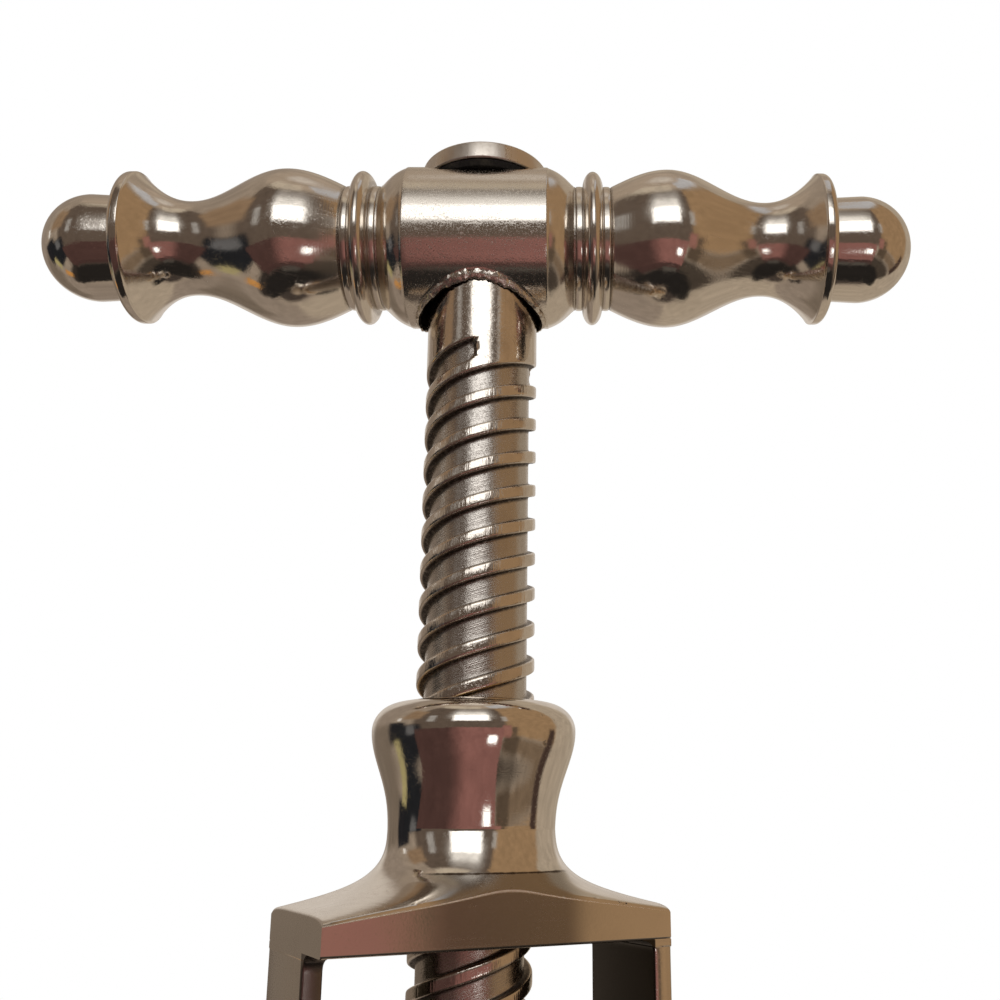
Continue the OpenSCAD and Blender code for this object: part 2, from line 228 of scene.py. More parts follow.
def noiseOf(vector, scale, detail=2.0, roughness=0.5):
    return output(vector.tree, "ShaderNodeTexNoise", Vector=vector, Scale=scale, Detail=detail,
                  Roughness=roughness)


def lineNoise(measure, scale):
    return output(measure.tree, "ShaderNodeTexNoise", noise_dimensions="1D", W=measure, Scale=scale,
                  Detail=3.0, Roughness=0.6)


def mixColour(factor, *colours):
    made = addNode(factor.tree, "ShaderNodeMix", data_type="RGBA", Factor=factor)
    for value, slot in zip(colours, [s for s in made.inputs if s.type == "RGBA"]):
        plug(value, slot)
    return Signal([s for s in made.outputs if s.type == "RGBA"][0])


def axesOf(vector):
    return [Signal(socket) for socket in addNode(vector.tree, "ShaderNodeSeparateXYZ", Vector=vector).outputs]


def turnedBy(vector, angle):
    return output(vector.tree, "ShaderNodeVectorRotate", rotation_type="Z_AXIS", Vector=vector, Angle=angle)


def fromAxis(x, y):
    return (x * x + y * y).run("SQRT")


def newGroup(name, inputs, outputs):
    # gives the group, its output slots and its inputs
    group = bpy.data.node_groups.new(name, "ShaderNodeTree")
    for label, value in inputs.items():
        kind = "NodeSocketFloat" if isinstance(value, float) else "NodeSocketVector"
        socket = group.interface.new_socket(label, in_out="INPUT", socket_type=kind)
        if value is not None:
            socket.default_value = value
    for label in outputs:
        group.interface.new_socket(label, in_out="OUTPUT", socket_type="NodeSocketFloat")
    source = group.nodes.new("NodeGroupInput")
    sink = group.nodes.new("NodeGroupOutput")
    return group, sink.inputs, *(Signal(source.outputs[label]) for label in inputs)


def newSurface(name, metallic=1.0):
    material = bpy.data.materials.new(name)
    material.use_nodes = True
    tree = material.node_tree
    shader = tree.nodes["Principled BSDF"]
    shader.inputs["Metallic"].default_value = metallic
    coords = output(tree, "ShaderNodeTexCoord", "Object")
    return SimpleNamespace(material=material, tree=tree, shader=shader, coords=coords)


def placeGroup(surface, group, **values):
    made = addNode(surface.tree, "ShaderNodeGroup", node_tree=group, **values)
    if "Vector" in made.inputs:
        plug(surface.coords, made.inputs["Vector"])
    return {socket.name: Signal(socket) for socket in made.outputs}


def finishSurface(surface, strength=1.0, depth=1.0):
    normal = output(surface.tree, "ShaderNodeBump", Strength=strength, Distance=depth, Height=surface.height)
    for name, value in (("Base Color", surface.colour), ("Roughness", surface.rough), ("Normal", normal)):
        plug(value, surface.shader.inputs[name])
    return surface.material


# hairline scratches in three directions, gathered in patches
scratchGroup, sink, vector, amount = newGroup("hairScratches", {"Vector": None, "Amount": 0.5}, ["Mask"])
lines = []
for turnDeg, stretch in ((24, (45, 3300, 3300)), (-38, (3100, 55, 3100)), (71, (60, 2900, 2900))):
    turn = [radians(turnDeg * share) for share in (1, 0.7, 1)]
    drawn = output(scratchGroup, "ShaderNodeMapping", Vector=vector, Rotation=turn, Scale=stretch)
    lines.append(noiseOf(drawn, 1.0, 0.0).ramp(0.68, 0.74))
crossed = lines[0].run("MAXIMUM", lines[1]).run("MAXIMUM", lines[2])
plug(crossed * noiseOf(vector, 260.0).ramp(0.38, 0.6) * amount, sink["Mask"])

# soft smears of handling, a slow wave of the surface, and the fine speckle and grain of old plating
smearGroup, sink, vector, scale = newGroup(
    "handlingSmears", {"Vector": None, "Scale": 95.0}, ["Mask", "Wave", "Speckle", "Grain"])
plug(noiseOf(vector, scale, 4.0, 0.62).ramp(0.45, 0.72), sink["Mask"])
plug(noiseOf(vector, scale * 2.2, 1.0), sink["Wave"])
plug(noiseOf(vector, 4300.0), sink["Speckle"])
plug(noiseOf(vector, 6200.0, 2.0, 0.6).ramp(0.48, 0.62), sink["Grain"])

# brush strokes: a noise drawn out along one direction
brushGroup, sink, vector, turn, stretch = newGroup(
    "brushStrokes", {"Vector": None, "Turn": 0.0, "Stretch": (1, 1, 1)}, ["Strokes"])
drawn = turnedBy(vector, turn).run("MULTIPLY", stretch, kind="ShaderNodeVectorMath")
plug(noiseOf(drawn, 1.0, 3.0, 0.65), sink["Strokes"])

# dirt that gathers within a width of one place along a measure
grimeGroup, sink, vector, measure, place, width = newGroup(
    "seamGrime", {"Vector": None, "Measure": 0.0, "Place": 0.0, "Width": 0.001}, ["Mask"])
near = abs(measure - place) / width * -1 + 1
crumbs = noiseOf(vector, 900.0, 3.0, 0.7) - 0.62
plug((near + crumbs).ramp(0.15, 0.8), sink["Mask"])
print("node groups ready")

# nickel plate
nickel = {
    "colour": (0.80, 0.74, 0.665), "worn": (0.71, 0.645, 0.57), "wornShare": 0.45,
    "grimeAndShade": (0.085, 0.06, 0.042), "smearRoughness": 0.06, "scratchRoughness": 0.12, "seamRoughness": 0.4,
    "turningRoughness": 0.05, "turningScale": 4200.0,
    "scratchDepth": 0.000002, "waveDepth": 0.000009, "speckleDepth": 0.0000042,
}


def startNickel(name, scratches=0.5, roughness=0.07, speckle=1.0, grain=0.04):
    metal = newSurface(name)
    fine = placeGroup(metal, scratchGroup, Amount=scratches)["Mask"]
    smear = placeGroup(metal, smearGroup)
    metal.grain = smear["Grain"]
    metal.rough = (fine * nickel["scratchRoughness"] + roughness + smear["Mask"] * nickel["smearRoughness"]
                   + smear["Grain"] * grain)
    metal.height = (fine * -nickel["scratchDepth"] + smear["Wave"] * nickel["waveDepth"]
                    + smear["Speckle"] * (nickel["speckleDepth"] * speckle))
    metal.colour = mixColour(smear["Mask"] * nickel["wornShare"], nickel["colour"], nickel["worn"])
    return metal


def addBrush(metal, stretch, turn, rough, depth, zone=None):
    # strokes roughen the metal, all over or where the zone lets them
    strokes = placeGroup(metal, brushGroup, Turn=turn, Stretch=stretch)["Strokes"]
    roughPart = strokes.ramp(0.25, 0.75, 0.35, 1.0) * rough
    depthPart = strokes * depth
    metal.rough += roughPart if zone is None else roughPart * zone
    metal.height += depthPart if zone is None else depthPart * zone


# paints a colour where the mask is set: real dirt and pits, and also painted shade and painted highlight
def paintOver(metal, mask, colour, rough):
    metal.colour = mixColour(mask, metal.colour, colour)
    metal.rough += mask * rough


def addGrime(metal, measure, placeMm, widthMm, share, rough):
    dirt = placeGroup(metal, grimeGroup, Measure=measure, Place=placeMm * mm, Width=widthMm * mm)
    paintOver(metal, dirt["Mask"] * share, nickel["grimeAndShade"], rough)


def handleAxes(metal):
    # along the handle, across it and up
    return axesOf(turnedBy(metal.coords, -handleTurn))


def handleMeasure(metal):
    # distance from the middle of the handle, along it
    return abs(handleAxes(metal)[0] - handleShift * mm)


def addSeams(metal, seams, share=0.85):
    # seams are (distance along the handle, width) in mm where dirt sits
    measure = handleMeasure(metal)
    for placeMm, widthMm in seams:
        addGrime(metal, measure, placeMm, widthMm, share, nickel["seamRoughness"])


def addTurning(metal, fromMm, toMm, depth):
    # lathe lines between two distances along the handle
    measure = handleMeasure(metal)
    inside = measure.mmRamp(fromMm - 0.3, fromMm) * measure.mmRamp(toMm + 1.2, toMm)
    metal.height += lineNoise(measure, nickel["turningScale"]) * inside * depth
    metal.rough += inside * nickel["turningRoughness"]


def plainMetal(name, colour, dark, roughness, scratches):
    metal = newSurface(name)
    fine = placeGroup(metal, scratchGroup, Amount=scratches)["Mask"]
    smear = placeGroup(metal, smearGroup, Scale=140.0)
    metal.rough = fine * 0.2 + roughness + smear["Mask"] * 0.1
    metal.height = smear["Speckle"] * 0.000002 + fine * -0.000005
    metal.colour = mixColour(smear["Mask"], colour, dark)
    return finishSurface(metal)


wormSteel = plainMetal("wormSteel", (0.60, 0.58, 0.55), (0.40, 0.37, 0.34), 0.2, 0.8)
rodSteel = plainMetal("rodSteel", (0.58, 0.56, 0.53), (0.42, 0.40, 0.37), 0.28, 0.6)
nutBronze = plainMetal("nutBronze", (0.66, 0.48, 0.28), (0.42, 0.30, 0.18), 0.27, 0.6)
print("shared finishes ready")

# barrel of the handle: a plain drum with rounded cones, cut for the screw and for its head
barrel = {
    "radius": 8.875, "half": 7.925, "edge": 0.3, "end": 10.825, "endRadius": 6.8, "bulge": 0.25,
    # the bore's colour is painted shade, near-black, for the walls inside the hole
    "boreAlong": 6.85, "boreAcross": 6.1, "boreShift": -0.25, "boreShade": (0.03, 0.024, 0.02),
    "pocket": 7.8, "pocketFloor": 6.175, "lip": 0.12, "cutReach": 20,
    "burr": 0.24, "burrOut": 0.08, "burrFront": 0.75, "burrWave": 0.5, "burrShift": 0.13, "burrHang": 0.22,
    "burrTear": 0.17,
}


def barrelMaterial():
    # grain on the drum, painted shade in the bore, and torn metal round its lower mouth
    metal = startNickel("barrelNickel", scratches=0.9)
    metal.rough += metal.grain * handleMeasure(metal).mmRamp(8.0, 7.8, 0.0, 0.14)
    addBrush(metal, (160, 3600, 3600), -handleTurn, rough=0.05, depth=0.0000022)
    addSeams(metal, [(10.75, 0.25)], share=0.3)
    x, y, z = handleAxes(metal)
    along = (x - barrel["boreShift"] * mm) / (barrel["boreAlong"] * mm)
    outwards = fromAxis(along, y / (barrel["boreAcross"] * mm))
    # painted shade: the walls inside the bore are painted near-black
    paintOver(metal, outwards.ramp(1.006, 1.002), barrel["boreShade"], rough=0.5)
    torn = outwards.ramp(1.10, 1.06) * outwards.ramp(0.99, 1.0)
    torn = torn * z.mmRamp(handleZ, handleZ - 2)
    metal.rough += torn * 0.12
    metal.height += noiseOf(metal.coords, 2600.0) * torn * 0.00006
    return finishSurface(metal)


def barrelOutline():
    r, half, edge, end, foot = (barrel[key] for key in ("radius", "half", "edge", "end", "endRadius"))
    points = [(r, (half - edge) * i / 14) for i in range(15)]
    points += arcPoints((r - edge, half - edge), edge, 15, 45, 3)
    r0, z0 = points[-1]
    for t in shares(12, 1):
        bulge = barrel["bulge"] * sin(pi * t)
        points.append((r0 + (foot + 0.2 - r0) * t + bulge, z0 + (end - 0.35 - z0) * t))
    points += [(foot + 0.12, end - 0.22), (foot, end - 0.15), (foot, end), (0, end)]
    return [(r, -z) for r, z in reversed(points[1:])] + points


def upright(along, across, shift, low):
    # an oval cutter that stands upright, its long way along the handle
    low, high = handleZ + low, handleZ + barrel["cutReach"]
    bm = bmesh.new()
    bmesh.ops.create_cone(bm, cap_ends=True, segments=128, radius1=mm, radius2=mm, depth=(high - low) * mm)
    bmesh.ops.scale(bm, vec=(along, across, 1), verts=bm.verts)
    bmesh.ops.translate(bm, vec=(shift * mm, 0, (low + high) / 2 * mm), verts=bm.verts)
    turnToHandle(bm)
    return makeObject(bm, "cutter")


def burrShape():
    # ragged lip round the lower mouth of the bore, spun as a plain ring and laid on the drum
    ringAt = 10.0
    waves = ((1, 5.2), (0.6, 13.0), (0.5, 31.0))
    bm = turnedShape(arcPoints((ringAt, 0), barrel["burr"], 0, 330, 11), steps=240, closed=True)
    for vert in bm.verts:
        a = atan2(vert.co.y, vert.co.x)
        spot = Vector((cos(a), sin(a), 0))
        wave = sum(share * meshNoise.noise(spot * scale) for share, scale in waves)
        size = (1 + barrel["burrFront"] * abs(spot.y) ** 2) * (1 + barrel["burrWave"] * wave)
        reach = 1 / hypot(spot.x / barrel["boreAlong"], spot.y / barrel["boreAcross"]) + barrel["burrOut"]
        reach += barrel["burrShift"] * meshNoise.noise(spot * 7.0 + Vector((0, 0, 3)))
        r = reach + (hypot(vert.co.x, vert.co.y) / mm - ringAt) * size
        grainSpot = Vector((r * spot.x, r * spot.y, vert.co.z / mm * 3)) * 2.4
        r += barrel["burrTear"] * meshNoise.noise(grainSpot)
        drumZ = handleZ - sqrt(barrel["radius"] ** 2 - (r * spot.y) ** 2)
        drumZ += barrel["burrTear"] * meshNoise.noise(grainSpot + Vector((9, 0, 0)))
        vert.co = ((r * spot.x + barrel["boreShift"]) * mm, r * spot.y * mm,
                   (drumZ - barrel["burrHang"]) * mm + vert.co.z * size)
    turnToHandle(bm)
    return bm


bm = turnedShape(barrelOutline(), steps=224)
alongHandle(bm, 1)
barrelPiece = makeObject(bm, "barrel_drum")
cutAway(barrelPiece, [
    upright(barrel["boreAlong"], barrel["boreAcross"], barrel["boreShift"], -barrel["cutReach"]),
    upright(barrel["pocket"], barrel["pocket"], 0, barrel["pocketFloor"]),
])
bm = bmesh.new()
bm.from_mesh(barrelPiece.data)
bmesh.ops.remove_doubles(bm, verts=bm.verts, dist=0.03 * mm)
rims = []
for edge in bm.edges:
    if len(edge.link_faces) == 2 and edge.calc_face_angle(0) > radians(35):
        middle = (edge.verts[0].co + edge.verts[1].co) / 2
        if hypot(middle.x, middle.y) < (barrel["pocket"] + 0.05) * mm:
            rims.append(edge)
roundEdges(bm, rims, barrel["lip"], segments=2)
joinShape(bm, burrShape())
bpy.data.objects.remove(barrelPiece)
dress(makeObject(bm, "barrel_drum"), "spindle", "handle_barrel", barrelMaterial())

# bead rings beside the barrel, each with a fine ring on both sides of the bead
beadRing = {
    "from": 10.825, "length": 3.9, "bore": 2.52, "band": 6.775, "crown": 8.45, "half": 1.12, "fullness": 1.15,
    "fineAt": 0.45, "fineHalf": 0.36, "fineRise": 0.07, "fineFullness": 0.8, "edge": 0.06,
}


def roundRise(middle, half, rise, count, fullness):
    # a rounded ridge on the band
    band = beadRing["band"]
    return [(band + rise * sin(pi * t) ** fullness, middle - half * cos(pi * t)) for t in shares(count)]


def beadOutline():
    low, high = beadRing["from"], beadRing["from"] + beadRing["length"]
    fine = [beadRing["fineHalf"], beadRing["fineRise"], 8, beadRing["fineFullness"]]
    edgeAt = beadRing["band"] - beadRing["edge"]
    points = [(beadRing["bore"], low), (edgeAt, low)] + roundRise(low + beadRing["fineAt"], *fine)
    rise = beadRing["crown"] - beadRing["band"]
    points += roundRise((low + high) / 2, beadRing["half"], rise, 24, beadRing["fullness"])
    return points + roundRise(high - beadRing["fineAt"], *fine) + [(edgeAt, high), (beadRing["bore"], high)]


beadNickel = startNickel("beadNickel", scratches=0.4)
addTurning(beadNickel, 10.7, 14.8, depth=0.000006)
addSeams(beadNickel, [(11.7, 0.2), (13.85, 0.2), (10.88, 0.14), (14.68, 0.14)], share=0.4)
handlePair(beadOutline(), 192, True, 55, "_bead_ring", "_bead", finishSurface(beadNickel))

# grips: bulb, waist and flared lip
grip = {
    "from": 14.725, "length": 24.4, "bore": 2.52, "groove": 6.75, "bulb": 8.7, "bulbAt": 6.4, "waist": 5.175,
    "waistAt": 17.4, "lip": 8.35, "lipThick": 1.3, "lipCrisp": 0.13, "lipRound": 0.7, "flare": 2.15,
    "seat": 6.3,
}


def gripOutline():
    start, end = grip["from"], grip["from"] + grip["length"]
    lipAt, lip, crisp = end - grip["lipThick"], grip["lip"], grip["lipCrisp"]
    groove, bulb, waist = grip["groove"], grip["bulb"], grip["waist"]
    bulbAt, waistAt = grip["bulbAt"], grip["waistAt"]
    points = [(grip["bore"], start), (groove - 0.08, start), (groove, start + 0.06)]
    for t in shares(24, 1):
        points.append((groove + (bulb - groove) * sin(pi / 2 * t), start + bulbAt * t))
    half = (bulb - waist) / 2
    for t in shares(48, 1):
        points.append((waist + half + half * cos(pi * t), start + bulbAt + (waistAt - bulbAt) * t))
    for t in shares(32, 1):
        points.append((waist + (lip - crisp - waist) * t ** grip["flare"],
                       start + waistAt + (lipAt - start - waistAt) * t))
    points += arcPoints((lip - crisp, lipAt + crisp), crisp, -50, 0, 4)
    for t in shares(12):
        a = pi / 2 * t
        rise = grip["lipThick"] * (0.45 + 0.55 * sin(a))
        points.append((lip - grip["lipRound"] * (1 - cos(a)), lipAt + rise))
    return points + [(grip["seat"], end), (grip["seat"] - 0.12, end - 0.1), (grip["bore"], end - 0.1)]


gripNickel = startNickel("gripNickel", scratches=0.8, speckle=0.9, grain=0.06)
addTurning(gripNickel, 14.6, 16.6, depth=0.000005)
addSeams(gripNickel, [(14.8, 0.3)], share=0.3)
handlePair(gripOutline(), 224, True, 50, "_grip_turning", "_grip", finishSurface(gripNickel))

# domed caps
cap = {"from": 39.125, "straight": 3.95, "radius": 5.9, "narrow": 0.2, "foot": 0.12, "sink": 0.08}


def capOutline():
    start = cap["from"] - cap["sink"]
    neck = cap["radius"] - cap["narrow"]
    points = [(0, start), (neck - cap["foot"], start), (neck, start + 0.3)]
    points += [(neck + cap["narrow"] * t, cap["from"] + cap["straight"] * t) for t in shares(5, 1)[:-1]]
    return points + arcPoints((0, cap["from"] + cap["straight"]), cap["radius"], 0, 90, 40)


capNickel = startNickel("capNickel", scratches=0.8)
addSeams(capNickel, [(39.15, 0.28)])
handlePair(capOutline(), 192, False, 50, "_end_dome", "_cap", finishSurface(capNickel))

# screw: the thread is a helical spin of its own section, shaped by where each point lies on the thread
screw = {
    "radius": 6.0, "root": 5.2, "end": 5.12, "endOverlap": 0.2, "chamfer": 0.35, "threadFrom": 76.0,
    "grooveEnd": 142.3, "grooveHalf": 1.22, "endBow": 0.18, "endStep": 0.16, "stepsPerTurn": 144,
    "pitch": 3.75, "starts": 3, "landSideDeg": -22.6, "landRise": 46.35, "plainFrom": 139.5,
}
threadLook = {
    # the darkest colour here is painted shade for the grooves beside the lands
    "land": (0.78, 0.71, 0.63), "root": (0.60, 0.555, 0.505), "grimeAndShade": (0.03, 0.022, 0.017),
    "stain": (0.40, 0.34, 0.29), "landRoughness": 0.07, "rootRoughness": 0.20, "scratchRoughness": 0.12,
    "grainRoughness": 0.16, "dirtRoughness": 0.4, "rootPits": 0.000016, "landPits": 0.0000035,
    "scratchDepth": 0.000004, "lineDepth": 0.000012, "dentDepth": 0.00002, "facetDepth": 0.00005,
}
# distance from the middle of a land, and how far down the flank the surface is there
landSection = [(0.0, 0.0), (0.30, 0.0), (0.48, 0.015), (0.58, 0.06), (0.64, 0.16), (0.67, 0.32), (0.70, 0.72),
               (0.74, 0.90), (0.82, 0.98), (0.95, 1.0), (1.25, 1.0), (1.56, 1.0)]
pitch = screw["pitch"]
lead = pitch * screw["starts"]
landZ = neckZ + screw["landRise"]
landAngle = radians(screw["landSideDeg"])


def threadMaterial():
    # bright lands, duller grooves, and painted shade: a dark line in the groove under each land and a fainter
    # one over it
    metal = newSurface("threadSteel")
    x, y, z = axesOf(metal.coords)
    inGroove = fromAxis(x, y).mmRamp(5.6, 5.92, 1.0, 0.0)
    turns = y.run("ARCTAN2", x) / (2 * pi)
    start = landZ / pitch - screw["starts"] * screw["landSideDeg"] / 360
    phase = z / (pitch * mm) - (turns * screw["starts"] + start)
    place = (phase + 0.5).run("FRACT")  # 0.5 is the middle of a land
    fine = placeGroup(metal, scratchGroup, Amount=0.7)["Mask"]
    smear = placeGroup(metal, smearGroup, Scale=170.0)
    pits = noiseOf(metal.coords, 2600.0, 3.0, 0.7)
    facets = placeGroup(metal, brushGroup, Stretch=(2300, 2300, 380))["Strokes"]
    facets = facets * (inGroove * -1 + 1) * z.mmRamp(screw["plainFrom"] + 2, screw["plainFrom"])
    # painted shade in the groove along each land's edges, darkest under the land, broken up by pits
    underLand = place.ramp(0.20, 0.30) * place.ramp(0.345, 0.32)
    overLand = place.ramp(0.66, 0.68) * place.ramp(0.75, 0.69)
    dirt = (overLand * 0.6 + underLand) * inGroove * pits.ramp(0.25, 0.55, 0.45, 0.85)
    colour = mixColour(inGroove, threadLook["land"], threadLook["root"])
    colour = mixColour(smear["Mask"] * 0.4, colour, threadLook["stain"])
    metal.colour = mixColour(dirt, colour, threadLook["grimeAndShade"])
    metal.rough = inGroove.ramp(0.0, 1.0, threadLook["landRoughness"], threadLook["rootRoughness"])
    for mask, key in ((fine, "scratch"), (smear["Grain"], "grain"), (dirt, "dirt")):
        metal.rough += mask * threadLook[key + "Roughness"]
    metal.height = pits * (inGroove * threadLook["rootPits"] + threadLook["landPits"])
    metal.height += fine * -threadLook["scratchDepth"]
    metal.height += lineNoise(abs(place - 0.5), 34.0) * inGroove * threadLook["lineDepth"]
    metal.height += noiseOf(metal.coords, 800.0) * threadLook["dentDepth"] + facets * threadLook["facetDepth"]
    return finishSurface(metal)


def threadDrop(offset):
    offset = abs(offset)
    for (d0, h0), (d1, h1) in zip(landSection, landSection[1:]):
        if offset <= d1:
            return h0 + (h1 - h0) * (offset - d0) / (d1 - d0)
    return 1.0


def threadRadius(angle, z):
    along = z - landZ - lead * (angle - landAngle) / (2 * pi)
    offset = (along + pitch / 2) % pitch - pitch / 2
    across = offset - copysign(pitch / 2, offset)  # distance from the middle of the groove
    bow = sqrt(max(0.0, 1 - (across / screw["grooveHalf"]) ** 2))
    limit = screw["grooveEnd"] - screw["endBow"] * (1 - bow)
    share = min(1.0, max(0.0, (limit - (z - across)) / screw["endStep"] + 0.5))
    return screw["radius"] - (screw["radius"] - screw["root"]) * threadDrop(offset) * share


section = sorted([d for d, drop in landSection] + [-d for d, drop in landSection[1:]] + [pitch / 2])
bottom, top = screw["threadFrom"] - lead - pitch, headBottom + pitch
startLevel = landZ - ceil((landZ - bottom) / pitch) * pitch
levels = [startLevel + pitch * k + d for k in range(int((top - bottom) / pitch) + 1) for d in section]
foot = Vector((cos(landAngle), sin(landAngle), 0)) * screw["radius"]
bm = bmesh.new()
spinLine(bm, [(foot + Vector((0, 0, z))) * mm for z in levels], screw["stepsPerTurn"],
         dvec=(0, 0, lead * mm / screw["stepsPerTurn"]))
bmesh.ops.remove_doubles(bm, verts=bm.verts, dist=2e-6)
for vert in bm.verts:
    angle = atan2(vert.co.y, vert.co.x)
    r = threadRadius(angle, vert.co.z / mm) * mm
    vert.co.x, vert.co.y = r * cos(angle), r * sin(angle)
for z, up in ((screw["threadFrom"], -1), (headBottom, 1)):
    bmesh.ops.bisect_plane(bm, geom=bm.verts[:] + bm.edges[:] + bm.faces[:], dist=1e-7,
                           plane_co=(0, 0, z * mm), plane_no=(0, 0, up), clear_outer=True)
closeEnds(bm)
endZ, joinZ = screwEnd, screw["threadFrom"] + screw["endOverlap"]
r, chamfer = screw["end"], screw["chamfer"]
endOutline = [(0, endZ), (r - chamfer, endZ), (r, endZ + chamfer), (r, joinZ), (0, joinZ)]
joinShape(bm, turnedShape(endOutline, steps=128))
dress(makeObject(bm, "screw_thread", 40), "spindle", "screw", threadMaterial())

# disc head and its washer
disc = {"radius": 7.2, "edge": 0.22, "stud": 2.5, "studDepth": 3.6, "dish": 0.09}
low, high = headBottom, headTop
rimAt = disc["radius"] - disc["edge"]
studEnd = low - disc["studDepth"]
discOutline = [(0, studEnd), (disc["stud"], studEnd), (disc["stud"], low), (rimAt, low)]
discOutline += arcPoints((rimAt, low + disc["edge"]), disc["edge"], -60, 0, 4)
discOutline += arcPoints((rimAt, high - disc["edge"]), disc["edge"], 0, 90, 5)
discOutline += [(rimAt * (1 - t), high - disc["dish"] * sin(pi / 2 * t)) for t in shares(4, 1)]
discNickel = startNickel("discNickel", scratches=0.5, roughness=0.14, grain=0.12)
addBrush(discNickel, (2400, 2400, 90), 0.0, rough=0.2, depth=0.000005)
dress(makeObject(turnedShape(discOutline, steps=192), "screw_head_disc", 50), "spindle", "screw_head",
      finishSurface(discNickel))

washer = {"bore": 6.06, "radius": 7.0, "edge": 0.12}
low, high = (corner.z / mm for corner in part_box("head_washer"))
edgeAt = washer["radius"] - washer["edge"]
washerOutline = [(washer["bore"], low)] + arcPoints((edgeAt, low + washer["edge"]), washer["edge"], -90, 0, 4)
washerOutline += arcPoints((edgeAt, high - washer["edge"]), washer["edge"], 0, 90, 4)
washerOutline.append((washer["bore"], high))
leather = newSurface("leatherWithPaintedShade", metallic=0.0)
leather.shader.inputs["Specular IOR Level"].default_value = 0.05
leather.height = output(leather.tree, "ShaderNodeTexVoronoi", "Distance", Vector=leather.coords, Scale=2600.0)
leather.rough = leather.height.ramp(0.0, 0.6, 0.75, 0.95)
smear = placeGroup(leather, smearGroup, Scale=260.0)["Mask"]
# near-black: the leather's own dark colour, partly painted shade for the gap under the disc
leather.colour = mixColour(smear, (0.005, 0.004, 0.0035), (0.014, 0.011, 0.008))
dress(makeObject(turnedShape(washerOutline, steps=144, closed=True), "head_washer_leather", 50), "lift",
      "head_washer", finishSurface(leather, strength=0.6, depth=0.0002))

# frame head: every column of the flare runs from the round neck to the edge of the bar
head = {
    "width": 34.1, "depth": 18.3, "neck": 8.4, "neckFront": 7.6,
    "coveSlope": 0.10, "coveBend": 0.06, "coveEnd": 3.9, "frontSlope": 0.17,
    "sideOut": 10.5, "sidePower": 3.1, "square": 7.0, "squarePower": 7,
    "collar": 10.2, "collarTop": 7.4, "topDrop": 0.45, "shoulder": 2.7, "bore": 7.22, "seat": 6.5,
    "seatThick": 1.0, "edge": 0.26, "columnsEnd": 22, "columnsFront": 50, "rows": 30,
}


def headMaterial():
    # a mirror on the collar, strokes on the wings, pits on the bar, dirt in the crease, painted shade below
    # it and a painted highlight on the arris
    metal = startNickel("headNickel", scratches=0.5, roughness=0.05, speckle=0.5)
    x, y, z = axesOf(metal.coords)
    wings = abs(x).mmRamp(7.5, 12.0) * abs(y).mmRamp(9.12, 8.95)
    addBrush(metal, (420, 2600, 1100), radians(35), rough=0.2, depth=0.000015, zone=wings)
    upper = z.mmRamp(barBottom + 2.2, barBottom + 3.0)
    marks = noiseOf(metal.coords, 760.0, 3.0, 0.6).ramp(0.66, 0.70)
    pits = y.mmRamp(-8.9, -9.1) * x.mmRamp(2.0, 5.0) * upper * marks
    paintOver(metal, pits, (0.06, 0.04, 0.025), rough=0.3)
    creaseZ = neckZ - head["coveEnd"]
    inFront = y.mmRamp(-5.0, -7.0) * abs(x).mmRamp(8.5, 5.5)
    # painted shade: the middle of the bar's front below the crease is painted a dull brown
    foot = z.mmRamp(creaseZ + 0.05, creaseZ - 0.15, 0.0, 0.75) * inFront
    paintOver(metal, foot, (0.27, 0.235, 0.20), rough=0.22)
    addGrime(metal, z, creaseZ, 0.2, inFront, rough=0.3)
    # painted highlight: a bright line along the arch edge of the bar's front
    arrisHighlight = y.mmRamp(-9.149, -9.143) * y.mmRamp(-9.128, -9.138)
    arrisHighlight = arrisHighlight * upper * z.mmRamp(neckZ, neckZ - 1)
    paintOver(metal, arrisHighlight, (0.95, 0.88, 0.80), rough=0.4)
    metal.height += pits * -0.00002
    return finishSurface(metal)


def ovalReach(a, b, direction, n=2, frontRoundness=1.0):
    # an oval that is round towards the front
    a -= (a - b) * direction[1] ** 2 * frontRoundness
    return ((abs(direction[0]) / a) ** n + (abs(direction[1]) / b) ** n) ** (-1 / n)


def flareReach(u, direction):
    # how far the flare stands from the axis in a direction, u below the neck
    t = max(0.0, u / flareHeight)
    a = head["neck"] + head["sideOut"] * t ** head["sidePower"]
    inCove = min(max(0.0, u), head["coveEnd"])
    b = head["neckFront"] + head["coveSlope"] * inCove + head["coveBend"] * inCove ** 2
    b += head["frontSlope"] * max(0.0, u - inCove)
    n = 2 + head["square"] * t ** head["squarePower"]
    return ovalReach(a, b, direction, n, max(0.0, 1 - t) ** 2)


def barReach(direction):
    sizes = (head["width"], head["depth"])
    return min(size / 2 / max(abs(part), 1e-9) for size, part in zip(sizes, direction))


def flareDepthAtBar(direction):
    low, high = 0.0, flareHeight * 1.2
    for _ in range(40):
        middle = (low + high) / 2
        if flareReach(middle, direction) < barReach(direction):
            low = middle
        else:
            high = middle
    return low


